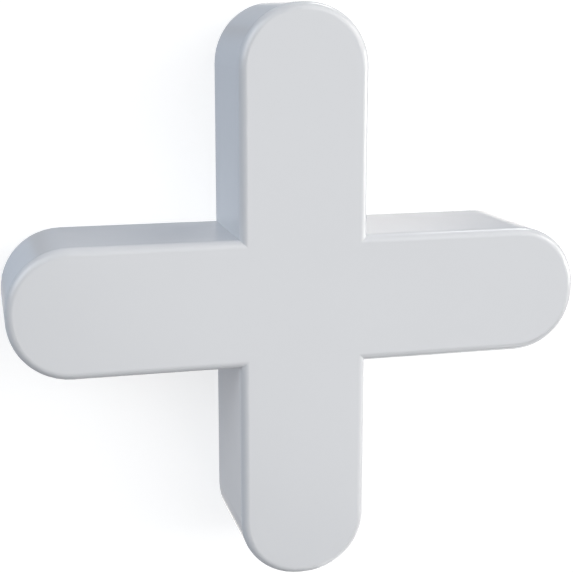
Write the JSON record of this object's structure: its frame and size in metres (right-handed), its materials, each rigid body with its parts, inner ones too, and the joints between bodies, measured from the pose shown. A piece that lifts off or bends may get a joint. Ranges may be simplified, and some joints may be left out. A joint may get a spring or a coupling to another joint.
{
  "type": "tile spacer",
  "caption": "Solid plus-shaped plastic tile spacer with rounded arm ends, which holds the corners of neighbouring tiles one grout joint apart.",
  "frame": {"origin": "middle of the back face, which the spacer lies on", "axes": "+Z through the thickness, from the back face to the front face; the arms lie along X and Y, which are alike"},
  "size_m": [0.0226, 0.0226, 0.005],
  "materials": {
    "white_plastic": "satin moulded"
  },
  "bodies": {
    "root": {"cross_spacer": "white_plastic"}
  },
  "joints": []
}
